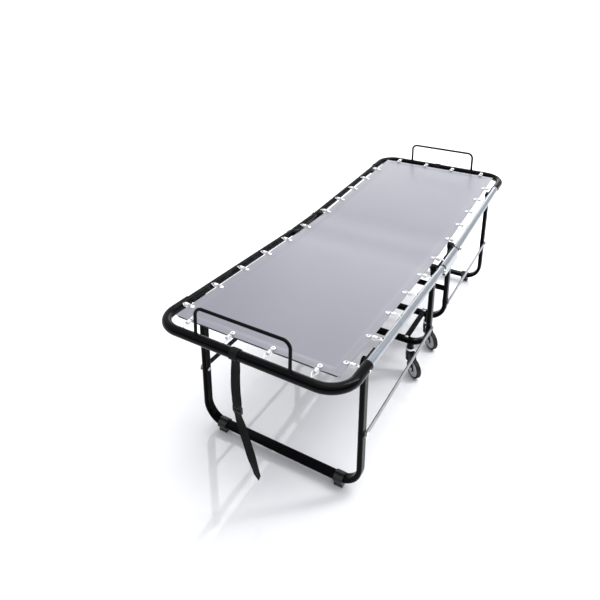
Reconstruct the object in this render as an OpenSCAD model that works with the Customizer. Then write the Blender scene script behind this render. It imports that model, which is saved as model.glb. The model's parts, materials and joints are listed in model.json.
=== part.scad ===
// Folding rollaway bed: two sprung deck halves that hinge up from a wheeled centre carriage.
// Millimetres. Origin on the floor at the middle of the bed, +X to the bed's right side,
// -Y towards the near end, +Z up.

/* [Deck] */
// Overall length of the open bed
bed_length = 1830; // [1815:5:1850]
// Overall width over the end tubes
bed_width = 660; // [658:1:664]
// Height of the top of the two end tubes above the floor
deck_height = 525; // [520:1:530]
// Outer diameter of the bent end tubes
end_tube_d = 31; // [31:0.1:31.2]
// Bend radius of the end tubes at their centre line
end_tube_bend = 82; // [70:2:100]
// Length of the straight side legs of each end tube, corners included
end_tube_return = 150; // [140:2:150]
// Outer diameter of the side rails that slide into the end tubes
rail_d = 26; // [25.8:0.1:26]
// Half width of the stretched fabric
fabric_half_width = 276; // [272:1:277]
// Gap from the fabric's end hem to the centre line of the end tube
fabric_end_gap = 47.5; // [45:0.5:50]
// Thickness of the hemmed fabric
fabric_t = 3; // [2:0.5:4]

/* [Hinges] */
// Distance from the middle of the bed to each deck hinge
hinge_y = 103; // [101:1:105]
// Height of the deck hinges above the floor
hinge_z = 475.5; // [473:0.5:478]
// Distance from the middle of the bed to each end leg
end_leg_y = 711; // [705:1:712]
// How far the link bars lie below the deck hinges
link_drop = 250; // [246:1:252]

/* [Legs] */
// Width of the flat-oval leg tube, across the bed
leg_w = 17.5; // [17:0.1:17.6]
// Depth of the flat-oval leg tube, along the bed
leg_d = 35; // [34:0.5:36]
// Distance from the middle of the bed to the centre line of each leg
leg_x = 289; // [288:0.5:289]
// Bend radius of the legs at their centre line
leg_bend = 72; // [66:1:73]
// Height of the centre line of the end legs' crossbars
end_bar_z = 27; // [26:0.5:28]
// Height of the centre line of the centre legs' crossbars
centre_bar_z = 142; // [140:0.5:143]

/* [Casters] */
// Distance from the middle of the bed to each caster's stem
caster_x = 222; // [218:1:226]
// Radius of the caster wheels
wheel_r = 37.5; // [37:0.5:38]
// Distance from a caster's stem to its wheel axle
caster_trail = 34; // [32:1:35]
// Way the casters point, turned from the bed's right
caster_heading = -37; // [-45:1:-30]

/* [Mattress retainers and strap] */
// Half width of each retainer bar
retainer_half_width = 158; // [150:2:170]
// Height of each retainer bar above the end tube
retainer_height = 86; // [80:1:90]
// Distance of the strap from the middle of the bed
strap_x = -18; // [-24:1:-10]

/* [Hidden] */
$fn = 64;

half_length = bed_length / 2;
tube_r = end_tube_d / 2;
rail_r = rail_d / 2;
tube_wall = 2.4;
rail_wall = 1.8;
leg_wall = 2;
rail_x = bed_width / 2 - tube_r;
// The deck halves rise from the hinges to the end tubes.
deck_run = half_length - tube_r - hinge_y;
deck_rise = deck_height - tube_r - hinge_z;
deck_tilt = atan(deck_rise / deck_run);
deck_reach = norm([deck_run, deck_rise]);
// End-leg pivots, measured from the deck hinge in the deck's own tilted frame.
leg_run = end_leg_y - hinge_y;
leg_v = leg_run * cos(deck_tilt);
leg_w_drop = leg_run * sin(deck_tilt);
link_z = hinge_z - link_drop;
// Layers across the bed: leg, link bar or plate, then rail.
leg_out = leg_x + leg_w / 2;
leg_in = leg_x - leg_w / 2;
rail_in = rail_x - rail_r;
link_t = 3.6;
link_in = leg_out + 0.8;
plate_in = leg_out;
plate_t = rail_in - plate_in - 0.3;
// Running clearance round every pivot, and the looser hole of the opened pivot.
run_gap = 0.1;
open_gap = 0.5;
hinge_pin_r = 5;
link_pin_r = 4;
// Fabric panels stop short of the hinges by this much on each side.
fold_gap = 20;
fabric_top = rail_r + 0.5;
fabric_v = deck_reach - fabric_end_gap;
spring_z = fabric_top - fabric_t / 2;
rail_end = 15;
centre_rail_half = hinge_y - 24;
centre_rail_depth = 44;
caster_h = centre_bar_z - leg_w / 2;

module deck_frame(side) {
    if (side < 0) near_frame() children();
    else mirror([0, 1, 0]) near_frame() children();
}
module near_frame() {
    translate([0, -hinge_y, hinge_z]) rotate([-deck_tilt, 0, 0]) children();
}
module along_x(x0, x1) {
    translate([x0, 0, 0]) rotate([90, 0, 90]) linear_extrude(x1 - x0) children();
}
module rod_x(x0, x1, r) {
    translate([x0, 0, 0]) rotate([0, 90, 0]) cylinder(r = r, h = x1 - x0);
}
// A pin with a head at its outer end and a nut at its inner end, on the side given by s.
module pin_x(s, x0, x1, r) {
    mirror([s < 0 ? 1 : 0, 0, 0]) {
        rod_x(x0, x1, r);
        rod_x(x1, x1 + 3.5, r + 3);
        translate([x0 - 3, 0, 0]) rotate([0, 90, 0]) cylinder(r = r + 2.5, h = 3, $fn = 6);
    }
}

// ---- tube profiles ----
module ring_2d(r, wall) {
    difference() {
        circle(r);
        circle(r - wall);
    }
}
module slot_2d(w, d) {
    square([w, d - w], center = true);
    translate([0, (d - w) / 2]) circle(w / 2);
    translate([0, -(d - w) / 2]) circle(w / 2);
}
module leg_profile() {
    difference() {
        slot_2d(leg_w, leg_d);
        slot_2d(leg_w - 2 * leg_wall, leg_d - 2 * leg_wall);
    }
}

// ---- legs ----
// Sweeps a tube profile down one upright, round a bend, along the crossbar and up again.
module u_sweep(bar_z, top) {
    for (s = [0, 1]) mirror([s, 0, 0]) {
        translate([leg_x, 0, bar_z + leg_bend]) linear_extrude(top - bar_z - leg_bend) children();
        translate([leg_x - leg_bend, 0, bar_z + leg_bend]) rotate([90, 0, 0]) rotate([0, 0, -90])
            rotate_extrude(angle = 90) translate([leg_bend, 0]) children();
    }
    translate([-leg_x + leg_bend, 0, bar_z]) rotate([90, 0, 90])
        linear_extrude(2 * (leg_x - leg_bend)) rotate(90) children();
}
// One U-shaped leg in its own plane at y = 0, with rounded solid tops at z = top.
module u_leg(bar_z, top, pin_z) {
    difference() {
        union() {
            u_sweep(bar_z, top) leg_profile();
            for (s = [0, 1]) mirror([s, 0, 0]) translate([0, 0, top]) difference() {
                rod_x(leg_in, leg_out, leg_d / 2);
                translate([leg_in - 1, -leg_d, -leg_d]) cube([leg_w + 2, 2 * leg_d, leg_d]);
            }
        }
        for (s = [0, 1]) mirror([s, 0, 0]) {
            translate([0, 0, top]) rod_x(leg_in - 1, leg_out + 1, hinge_pin_r + run_gap);
            translate([0, 0, pin_z]) rod_x(leg_in - 1, leg_out + 1, link_pin_r + run_gap);
        }
    }
}
module centre_leg(side) {
    color("#141416") translate([0, side * hinge_y, 0]) u_leg(centre_bar_z, hinge_z, link_z);
}
module end_leg(side) {
    color("#141416") translate([0, side * end_leg_y, 0]) u_leg(end_bar_z, hinge_z, link_z);
}
// Clip-on plastic glides round the end legs' crossbars.
glide_x = 222;
glide_len = 30;
glide_wall = 3.6;
module leg_glides(side) {
    color("#202022") translate([0, side * end_leg_y, 0]) for (s = [-1, 1]) difference() {
        translate([s * glide_x, 0, 0]) along_x(-glide_len / 2, glide_len / 2) {
            translate([0, end_bar_z]) rotate(90) slot_2d(leg_w + 2 * glide_wall, leg_d + 2 * glide_wall);
            translate([-13, 0]) square([26, end_bar_z]);
            translate([-4, end_bar_z]) square([8, leg_w / 2 + 11]);
        }
        u_sweep(end_bar_z, end_bar_z + leg_bend + 20) slot_2d(leg_w + 0.1, leg_d + 0.1);
    }
}

// ---- carriage ----
module upper_cross_tube() {
    color("#141416") translate([0, hinge_y, link_z + 59]) along_x(-leg_in, leg_in) ring_2d(11, 1.8);
}
module tie_bar(s) {
    bar_x = caster_x - 17;
    color("#18181a") translate([s * bar_x - 10, -hinge_y - 14, centre_bar_z + leg_w / 2])
        difference() {
            cube([20, 2 * hinge_y + 28, 4]);
            for (y = [14, 2 * hinge_y + 14]) translate([10, y, -1]) cylinder(r = 3, h = 6);
        }
}
module centre_rail(s) {
    top = rail_r;
    color("#9a9da3") mirror([s < 0 ? 1 : 0, 0, 0])
        translate([rail_x, centre_rail_half, hinge_z]) rotate([90, 0, 0])
        linear_extrude(2 * centre_rail_half) difference() {
            union() {
                circle(rail_r);
                translate([-rail_r - 0.3, top - centre_rail_depth])
                    square([rail_d + 0.3, centre_rail_depth - top]);
            }
            circle(rail_r - rail_wall);
            translate([-rail_r + rail_wall, top - centre_rail_depth + rail_wall])
                square([rail_d - 2 * rail_wall, centre_rail_depth - top - rail_wall]);
        }
}
module hinge_plate(s) {
    boss_r = 16;
    color("#101012") mirror([s < 0 ? 1 : 0, 0, 0]) translate([0, 0, hinge_z])
        along_x(plate_in, plate_in + plate_t) difference() {
            union() {
                for (e = [-1, 1]) translate([e * hinge_y, 0]) circle(boss_r);
                translate([-hinge_y, rail_r - centre_rail_depth + 9]) square([2 * hinge_y, 30]);
            }
            for (e = [-1, 1]) translate([e * hinge_y, 0]) circle(hinge_pin_r + run_gap);
        }
}
module hinge_bolts() {
    color("#c8cacc") for (s = [-1, 1], e = [-1, 1]) translate([0, e * hinge_y, hinge_z])
        pin_x(s, leg_in, rail_x + rail_r + 0.3, hinge_pin_r);
}
module link_bolts(y) {
    color("#c8cacc") for (s = [-1, 1]) translate([0, y, link_z])
        pin_x(s, leg_in, link_in + link_t + 0.4, link_pin_r);
}
module link_bolts_centre() {
    link_bolts(-hinge_y);
    link_bolts(hinge_y);
}

// ---- link bars: the hole at the end leg is the opened pivot, so it has open_gap ----
module link_bar(side, s) {
    half = 9;
    color(s > 0 ? "#8b8e93" : "#1a1a1c") mirror([s < 0 ? 1 : 0, 0, 0]) translate([0, 0, link_z])
        along_x(link_in, link_in + link_t) difference() {
            union() {
                for (y = [hinge_y, end_leg_y]) translate([side * y, 0]) circle(half);
                translate([side > 0 ? hinge_y : -end_leg_y, -half]) square([leg_run, 2 * half]);
            }
            translate([side * hinge_y, 0]) circle(link_pin_r + run_gap);
            translate([side * end_leg_y, 0]) circle(link_pin_r + open_gap);
        }
}

// ---- deck halves, drawn in the deck frame with -Y outwards ----
module end_tube(side) {
    bend_x = rail_x - end_tube_bend;
    bend_y = -deck_reach + end_tube_bend;
    color("#101012") deck_frame(side) {
        for (m = [0, 1]) mirror([m, 0, 0]) {
            translate([bend_x, bend_y, 0]) rotate([0, 0, -90])
                rotate_extrude(angle = 90) translate([end_tube_bend, 0]) ring_2d(tube_r, tube_wall);
            translate([rail_x, -deck_reach + end_tube_return, 0]) rotate([90, 0, 0])
                linear_extrude(end_tube_return - end_tube_bend) ring_2d(tube_r, tube_wall);
        }
        translate([0, -deck_reach, 0]) along_x(-bend_x, bend_x) ring_2d(tube_r, tube_wall);
    }
}
// The hinge end of each rail is cut to a blunt point so that it clears the centre rail.
module side_rail(side, s) {
    seat = 60;
    color(s > 0 ? "#aeb2b8" : "#232326") deck_frame(side) mirror([s < 0 ? 1 : 0, 0, 0]) difference() {
        translate([rail_x, rail_end, 0]) rotate([90, 0, 0])
            linear_extrude(deck_reach - end_tube_return + seat + rail_end) ring_2d(rail_r, rail_wall);
        rod_x(rail_in - 1, rail_x + rail_r + 1, hinge_pin_r + run_gap);
        translate([rail_in - 1, rail_end, -rail_r]) rotate([45, 0, 0])
            translate([0, -9, -20]) cube([rail_d + 2, 18, 20]);
    }
}
module leg_brackets(side) {
    color("#101012") deck_frame(side) for (m = [0, 1]) mirror([m, 0, 0]) difference() {
        translate([0, -leg_v, 0]) along_x(leg_out + 0.6, rail_in + 1.5) difference() {
            union() {
                polygon([[-34, 7], [34, 7], [15, -leg_w_drop], [-15, -leg_w_drop]]);
                translate([0, -leg_w_drop]) circle(15);
            }
            translate([0, -leg_w_drop]) circle(hinge_pin_r + run_gap);
        }
        translate([rail_x, 1 - leg_v + 60, 0]) rotate([90, 0, 0]) cylinder(r = rail_r, h = 122);
    }
}
module leg_bolts(side) {
    color("#c8cacc") deck_frame(side) for (s = [-1, 1]) translate([0, -leg_v, -leg_w_drop])
        pin_x(s, leg_in - 0.4, rail_in + 1.9, hinge_pin_r);
}
module retainer_bar(side) {
    wire_r = 5;
    bend = 24;
    foot_z = 6;
    top_z = tube_r + retainer_height;
    color("#101012") deck_frame(side) translate([0, -deck_reach, 0]) difference() {
        union() {
            for (m = [0, 1]) mirror([m, 0, 0]) {
                translate([retainer_half_width, 0, foot_z]) cylinder(r = wire_r, h = top_z - bend - foot_z);
                translate([retainer_half_width - bend, 0, top_z - bend]) rotate([90, 0, 0])
                    rotate_extrude(angle = 90) translate([bend, 0]) circle(wire_r);
            }
            translate([0, 0, top_z]) rod_x(-retainer_half_width + bend, retainer_half_width - bend, wire_r);
        }
        rod_x(-bed_width / 2, bed_width / 2, tube_r);
    }
}

// ---- fabric and springs ----
module fabric_panel(y0, y1) {
    translate([-fabric_half_width, y0, fabric_top - fabric_t])
        cube([2 * fabric_half_width, y1 - y0, fabric_t]);
}
module fabric_half(side) {
    color("#bfc3ca") deck_frame(side) fabric_panel(-fabric_v, -fold_gap);
}
module fabric_centre() {
    color("#bfc3ca") translate([0, 0, hinge_z]) fabric_panel(-hinge_y + fold_gap, hinge_y - fold_gap);
}
// A short extension spring along X: coil body with a wire to the rail.
module spring(reach) {
    coil_r = 4;
    color("#d4d6d8") {
        along_x(1, 16) ring_2d(coil_r, 1.2);
        rod_x(16, reach, 1.2);
        rod_x(14.8, 16, coil_r);
    }
}
rail_reach = rail_in - fabric_half_width + 5.6;
tube_reach = rail_reach - 4.4;
end_spring_x = [-216, -69, 69, 216];
module side_springs(ys, reach) {
    for (m = [0, 1], y = ys) mirror([m, 0, 0]) translate([fabric_half_width, y, spring_z])
        spring(reach);
}
// Five springs a side, the last one hooked into the end tube, and four across the end.
module half_springs(side, first, pitch) {
    deck_frame(side) {
        side_springs([for (i = [0:3]) -first - pitch * i], rail_reach);
        side_springs([-first - pitch * 4], tube_reach);
        for (x = end_spring_x) translate([x, -fabric_v, spring_z]) rotate([0, 0, -90])
            spring(fabric_end_gap - 12);
    }
}
module springs_centre() {
    translate([0, 0, hinge_z]) side_springs([-45], rail_reach);
}

// ---- strap ----
strap_w = 26;
strap_gap = 0.3;
webbing_t = 2;
end_tube_z = deck_height - tube_r;
end_tube_y = half_length - tube_r;
module strap_loop(side) {
    translate([strap_x, side * end_tube_y, end_tube_z]) along_x(-strap_w / 2, strap_w / 2)
        ring_2d(tube_r + strap_gap + webbing_t, webbing_t);
}
// Height of the middle of the buckle, and of the strap where its loose tail starts below it.
buckle_z = 322;
tail_z = buckle_z - 17;
module strap() {
    tail = [[-13, 0.5], [13, 0.5], [72, -203], [64, -211], [52, -204]];
    drop = end_tube_z - tube_r - tail_z;
    color("#0c0c0e") {
        strap_loop(-1);
        translate([strap_x - strap_w / 2, -end_tube_y - webbing_t, tail_z])
            cube([strap_w, 2 * webbing_t, drop - strap_gap - webbing_t / 2]);
        translate([strap_x, -end_tube_y + 1, tail_z]) rotate([90, 0, 0])
            linear_extrude(webbing_t) polygon(tail);
    }
}
module strap_buckle() {
    color("#0c0c0e") translate([strap_x, -end_tube_y, buckle_z]) difference() {
        cube([36, 10, 29.2], center = true);
        cube([26.4, 4.4, 40], center = true);
    }
}
module strap_keeper() {
    color("#0c0c0e") strap_loop(1);
}

// ---- casters: 1 near right, 2 far right, 3 near left, 4 far left ----
stem_r = 6;
socket_z = caster_h - 21;
stem_z = caster_h - 50;
race_t = 7;
crown_z = socket_z - race_t - 0.8;
module caster_at(i) {
    s = i <= 2 ? 1 : -1;
    e = i % 2 == 1 ? -1 : 1;
    translate([s * caster_x, e * hinge_y, 0]) rotate([0, 0, caster_heading]) children();
}
module caster_sockets() {
    color("#1a1a1c") for (i = [1:4]) caster_at(i) {
        translate([0, 0, socket_z]) cylinder(r = 13, h = caster_h - socket_z);
        translate([0, 0, stem_z]) cylinder(r = stem_r, h = socket_z - stem_z);
    }
}
module caster_races() {
    color("#d8dadc") for (i = [1:4]) caster_at(i) translate([0, 0, socket_z - race_t]) difference() {
        cylinder(r = 17, h = race_t);
        translate([0, 0, -1]) cylinder(r = stem_r, h = race_t + 2);
    }
}
module rod_y(half, r) {
    rotate([90, 0, 0]) translate([0, 0, -half]) cylinder(r = r, h = 2 * half);
}
// Two side plates run from the crown down to the axle, outside the wheel.
wheel_half = 8;
fork_half = 12;
module caster_fork(i) {
    crown_foot = 60;
    color("#0e0e10") caster_at(i) difference() {
        union() {
            translate([0, 0, crown_foot]) cylinder(r = 15, h = crown_z - crown_foot);
            rotate([90, 0, 0]) translate([0, 0, -fork_half]) linear_extrude(2 * fork_half) hull() {
                translate([caster_trail, wheel_r]) circle(10);
                translate([-11, crown_foot + 14]) square([30, 24]);
            }
        }
        translate([caster_trail, 0, wheel_r]) rod_y(wheel_half + 1.2, wheel_r + 2);
        translate([caster_trail, 0, wheel_r]) rod_y(20, link_pin_r + run_gap);
        translate([0, 0, stem_z - 1]) cylinder(r = stem_r + run_gap, h = 60);
    }
}
module caster_axle(i) {
    head_y = fork_half + 0.4;
    color("#d0d2d4") caster_at(i) translate([caster_trail, 0, wheel_r]) {
        rod_y(head_y, link_pin_r);
        for (m = [0, 1]) mirror([0, m, 0]) translate([0, -head_y, 0]) rotate([90, 0, 0])
            cylinder(r = 6.5, h = 2);
    }
}
tyre_t = 6.5;
module caster_hub(i) {
    color("#b9bcc0") caster_at(i) translate([caster_trail, 0, wheel_r]) difference() {
        rod_y(wheel_half, wheel_r - tyre_t);
        rod_y(wheel_half + 1, link_pin_r + run_gap);
    }
}
module caster_tyre(i) {
    color("#101010") caster_at(i) translate([caster_trail, 0, wheel_r]) difference() {
        rod_y(wheel_half, wheel_r);
        rod_y(wheel_half + 1, wheel_r - tyre_t);
    }
}

centre_leg(-1);  // centre_leg_near
centre_leg(1);  // centre_leg_far
upper_cross_tube();
tie_bar(-1);  // tie_bar_left
tie_bar(1);  // tie_bar_right
centre_rail(-1);  // centre_rail_left
centre_rail(1);  // centre_rail_right
hinge_plate(-1);  // hinge_plate_left
hinge_plate(1);  // hinge_plate_right
hinge_bolts();
link_bolts_centre();
caster_sockets();
caster_races();
fabric_centre();
springs_centre();
end_tube(-1);  // end_tube_near
side_rail(-1, -1);  // side_rail_near_left
side_rail(-1, 1);  // side_rail_near_right
leg_brackets(-1);  // leg_brackets_near
leg_bolts(-1);  // leg_bolts_near
retainer_bar(-1);  // retainer_bar_near
fabric_half(-1);  // fabric_near
half_springs(-1, 94, 147.7);  // springs_near
strap();
strap_buckle();
end_tube(1);  // end_tube_far
side_rail(1, -1);  // side_rail_far_left
side_rail(1, 1);  // side_rail_far_right
leg_brackets(1);  // leg_brackets_far
leg_bolts(1);  // leg_bolts_far
retainer_bar(1);  // retainer_bar_far
fabric_half(1);  // fabric_far
half_springs(1, 32, 141);  // springs_far
strap_keeper();
end_leg(-1);  // end_leg_near
leg_glides(-1);  // leg_glides_near
link_bolts(-end_leg_y);  // link_bolts_near
end_leg(1);  // end_leg_far
leg_glides(1);  // leg_glides_far
link_bolts(end_leg_y);  // link_bolts_far
link_bar(-1, -1);  // link_near_left
link_bar(-1, 1);  // link_near_right
link_bar(1, -1);  // link_far_left
link_bar(1, 1);  // link_far_right
for (i = [1:4]) {
    caster_fork(i);
    caster_axle(i);
    caster_hub(i);
    caster_tyre(i);
}
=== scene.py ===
import json
import math

import bmesh
import bpy
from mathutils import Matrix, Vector


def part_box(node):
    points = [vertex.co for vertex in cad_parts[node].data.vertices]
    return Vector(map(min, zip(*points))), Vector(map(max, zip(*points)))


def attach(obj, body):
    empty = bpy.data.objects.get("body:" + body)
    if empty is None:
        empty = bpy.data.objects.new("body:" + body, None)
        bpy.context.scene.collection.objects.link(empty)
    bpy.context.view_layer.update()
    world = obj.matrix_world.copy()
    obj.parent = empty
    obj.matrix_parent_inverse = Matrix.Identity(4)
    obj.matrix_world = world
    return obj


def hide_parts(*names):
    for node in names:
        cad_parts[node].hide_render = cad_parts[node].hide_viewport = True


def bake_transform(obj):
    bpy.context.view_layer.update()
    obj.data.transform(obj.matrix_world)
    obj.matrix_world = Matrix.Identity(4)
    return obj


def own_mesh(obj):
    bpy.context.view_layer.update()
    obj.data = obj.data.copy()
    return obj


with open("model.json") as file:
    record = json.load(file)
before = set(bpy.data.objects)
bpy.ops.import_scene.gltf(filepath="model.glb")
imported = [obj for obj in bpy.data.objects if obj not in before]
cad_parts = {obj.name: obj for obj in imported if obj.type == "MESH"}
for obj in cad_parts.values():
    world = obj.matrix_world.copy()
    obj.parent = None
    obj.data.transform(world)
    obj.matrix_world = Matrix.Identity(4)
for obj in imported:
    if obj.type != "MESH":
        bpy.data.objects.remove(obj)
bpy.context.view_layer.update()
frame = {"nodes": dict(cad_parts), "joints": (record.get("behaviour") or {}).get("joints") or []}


# ---- Camera ----
# Standing height, off the foot corner, looking along the bed.
camera_data = bpy.data.cameras.new("camera")
camera_data.lens = 34.885
camera_data.sensor_width = 36
camera_data.shift_y = -0.2333
camera = bpy.data.objects.new("camera", camera_data)
camera.location = (0.8152, -1.9737, 1.5325)
camera.rotation_euler = (math.pi / 2 - 0.327, 0, 0.528)
bpy.context.scene.collection.objects.link(camera)
bpy.context.scene.camera = camera


# ---- Studio floor and lights ----
# A polished white floor that mirrors the frame faintly, in a white room whose low walls are dark
# on the foot side, so that tubes show a bright top and a dark flank. A broad lamp hangs overhead.
def ranged(tree, source, low, high, low_to=0.0, high_to=1.0, kind="LINEAR"):
    node = tree.nodes.new("ShaderNodeMapRange")
    node.interpolation_type = kind
    node.inputs["From Min"].default_value = low
    node.inputs["From Max"].default_value = high
    node.inputs["To Min"].default_value = low_to
    node.inputs["To Max"].default_value = high_to
    tree.links.new(source, node.inputs["Value"])
    return node.outputs["Result"]


def product(tree, first, second):
    node = tree.nodes.new("ShaderNodeMath")
    node.operation = "MULTIPLY"
    tree.links.new(first, node.inputs[0])
    tree.links.new(second, node.inputs[1])
    return node.outputs[0]


bpy.context.scene.view_settings.view_transform = "Standard"
world = bpy.data.worlds.new("studio")
bpy.context.scene.world = world
world.use_nodes = True
room = world.node_tree
room_way = room.nodes.new("ShaderNodeTexCoord")
room_split = room.nodes.new("ShaderNodeSeparateXYZ")
room.links.new(room_way.outputs["Generated"], room_split.inputs[0])
foot_side = room.nodes.new("ShaderNodeVectorMath")
foot_side.operation = "DOT_PRODUCT"
foot_side.inputs[1].default_value = (0.55, -0.83, 0)
room.links.new(room_way.outputs["Generated"], foot_side.inputs[0])
foot_dark = ranged(room, foot_side.outputs["Value"], -0.05, 0.5, kind="SMOOTHSTEP")
low_dark = ranged(room, room_split.outputs["Z"], 0.72, 0.30, kind="SMOOTHSTEP")
wall_dark = product(room, foot_dark, low_dark)
wall_glow = ranged(room, wall_dark, 0.0, 1.0, 1.0, 0.05)
room_glow = room.nodes["Background"]
room_glow.inputs["Color"].default_value = (0.97, 0.98, 1.0, 1)
room.links.new(wall_glow, room_glow.inputs["Strength"])
seen_wall = room.nodes.new("ShaderNodeBackground")
seen_wall.inputs["Color"].default_value = (1, 1, 1, 1)
room_path = room.nodes.new("ShaderNodeLightPath")
room_mix = room.nodes.new("ShaderNodeMixShader")
room.links.new(room_path.outputs["Is Camera Ray"], room_mix.inputs[0])
room.links.new(room_glow.outputs[0], room_mix.inputs[1])
room.links.new(seen_wall.outputs[0], room_mix.inputs[2])
room.links.new(room_mix.outputs[0], room.nodes["World Output"].inputs["Surface"])

lamp_data = bpy.data.lights.new("broad lamp", "SUN")
lamp_data.energy = 1.85
lamp_data.angle = 1.1
lamp = bpy.data.objects.new("broad lamp", lamp_data)
lamp.rotation_euler = (-0.30, 0.16, 0)
bpy.context.scene.collection.objects.link(lamp)


# A long box low at the head end lights the cloth at a glance, and a narrow strip draws the
# highlights on the enamel.
def soft_box(name, place, aim, size, power):
    data = bpy.data.lights.new(name, "AREA")
    data.shape = "RECTANGLE"
    data.size, data.size_y = size
    data.energy = power
    box = bpy.data.objects.new(name, data)
    box.location = place
    box.rotation_euler = (Vector(aim) - Vector(place)).to_track_quat("-Z", "Y").to_euler()
    bpy.context.scene.collection.objects.link(box)


soft_box("head box", (-1.5, 5.2, 2.0), (0, 0.4, 0.5), (4.4, 1.7), 52)
soft_box("strip box", (1.9, 0.9, 2.9), (0.1, -0.2, 0.5), (0.22, 2.6), 62)

floor_mesh = bpy.data.meshes.new("floor")
shape = bmesh.new()
bmesh.ops.create_circle(shape, cap_ends=True, segments=96, radius=60)
shape.to_mesh(floor_mesh)
shape.free()
floor = bpy.data.objects.new("floor", floor_mesh)
floor.location = (0, 0, -0.0005)
bpy.context.scene.collection.objects.link(floor)
floor_paint = bpy.data.materials.new("polished white floor")
floor_paint.use_nodes = True
floor_tree = floor_paint.node_tree
floor_tree.nodes.remove(floor_tree.nodes["Principled BSDF"])
floor_body = floor_tree.nodes.new("ShaderNodeBsdfDiffuse")
floor_body.inputs["Color"].default_value = (0.955, 0.955, 0.975, 1)
floor_shine = floor_tree.nodes.new("ShaderNodeBsdfGlossy")
floor_shine.inputs["Color"].default_value = (1, 1, 1, 1)
floor_shine.inputs["Roughness"].default_value = 0.06
floor_mix = floor_tree.nodes.new("ShaderNodeMixShader")
floor_mix.inputs[0].default_value = 0.17
floor_tree.links.new(floor_body.outputs[0], floor_mix.inputs[1])
floor_tree.links.new(floor_shine.outputs[0], floor_mix.inputs[2])
floor_tree.links.new(floor_mix.outputs[0], floor_tree.nodes["Material Output"].inputs["Surface"])
floor_mesh.materials.append(floor_paint)


# ---- Carriage legs, cross tube and tie bars ----
# Flat-oval steel tube bent to a U on a mandrel, in gloss black baked enamel. The tie bars are
# flat steel strip riveted on top. Enamel is thin and rubbed on corners and bolt faces.
def add_group(name, wanted, given):
    group = bpy.data.node_groups.new(name, "ShaderNodeTree")
    for label, kind, value in wanted:
        socket = group.interface.new_socket(label, in_out="INPUT", socket_type=kind)
        socket.default_value = value
    for label, kind in given:
        group.interface.new_socket(label, in_out="OUTPUT", socket_type=kind)
    return group, group.nodes.new("NodeGroupInput"), group.nodes.new("NodeGroupOutput")


def speckle(tree, place, scale, detail):
    node = tree.nodes.new("ShaderNodeTexNoise")
    node.inputs["Scale"].default_value = scale
    node.inputs["Detail"].default_value = detail
    tree.links.new(place, node.inputs["Vector"])
    return node.outputs["Fac"]


def colour_mix(tree, share, first, second):
    node = tree.nodes.new("ShaderNodeMix")
    node.data_type = "RGBA"
    tree.links.new(share, node.inputs["Factor"])
    tree.links.new(first, node.inputs["A"])
    tree.links.new(second, node.inputs["B"])
    return node.outputs["Result"]


# Rubbed paint: the pointed edges and a few scuffs show the undercoat.
rubbed, rub_in, rub_out = add_group(
    "rubbed paint",
    [
        ("Paint", "NodeSocketColor", (0.01, 0.01, 0.012, 1)),
        ("Undercoat", "NodeSocketColor", (0.2, 0.2, 0.21, 1)),
        ("Rub", "NodeSocketFloat", 0.3),
        ("Roughness", "NodeSocketFloat", 0.2),
    ],
    [("Color", "NodeSocketColor"), ("Roughness", "NodeSocketFloat"), ("Height", "NodeSocketFloat")],
)
rub_place = rubbed.nodes.new("ShaderNodeTexCoord")
rub_shape = rubbed.nodes.new("ShaderNodeNewGeometry")
edge_range = ranged(rubbed, rub_shape.outputs["Pointiness"], 0.53, 0.66)
scuff = speckle(rubbed, rub_place.outputs["Object"], 42, 6)
worn = product(rubbed, edge_range, ranged(rubbed, scuff, 0.5, 0.75))
worn_amount = product(rubbed, worn, rub_in.outputs["Rub"])
worn_mix = colour_mix(rubbed, worn_amount, rub_in.outputs["Paint"], rub_in.outputs["Undercoat"])
rubbed.links.new(worn_mix, rub_out.inputs["Color"])
haze = speckle(rubbed, rub_place.outputs["Object"], 9, 3)
haze_range = ranged(rubbed, haze, 0.0, 1.0, -0.02, 0.04)
haze_add = rubbed.nodes.new("ShaderNodeMath")
haze_add.operation = "ADD"
rubbed.links.new(rub_in.outputs["Roughness"], haze_add.inputs[0])
rubbed.links.new(haze_range, haze_add.inputs[1])
rubbed.links.new(haze_add.outputs[0], rub_out.inputs["Roughness"])
peel = speckle(rubbed, rub_place.outputs["Object"], 420, 2)
rubbed.links.new(peel, rub_out.inputs["Height"])

# Settled dust: a thin pale film on faces that look up.
dust, dust_in, dust_out = add_group(
    "settled dust",
    [
        ("Color", "NodeSocketColor", (0.01, 0.01, 0.012, 1)),
        ("Dust", "NodeSocketColor", (0.35, 0.35, 0.36, 1)),
        ("Amount", "NodeSocketFloat", 0.1),
    ],
    [("Color", "NodeSocketColor")],
)
dust_place = dust.nodes.new("ShaderNodeTexCoord")
dust_face = dust.nodes.new("ShaderNodeNewGeometry")
dust_up = dust.nodes.new("ShaderNodeSeparateXYZ")
dust.links.new(dust_face.outputs["Normal"], dust_up.inputs[0])
dust_noise = speckle(dust, dust_place.outputs["Object"], 70, 8)
dust_lie = ranged(dust, dust_up.outputs["Z"], 0.55, 1.0)
dust_mask = product(dust, dust_lie, dust_noise)
dust_share = product(dust, dust_mask, dust_in.outputs["Amount"])
dust_mix = colour_mix(dust, dust_share, dust_in.outputs["Color"], dust_in.outputs["Dust"])
dust.links.new(dust_mix, dust_out.inputs["Color"])


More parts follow.
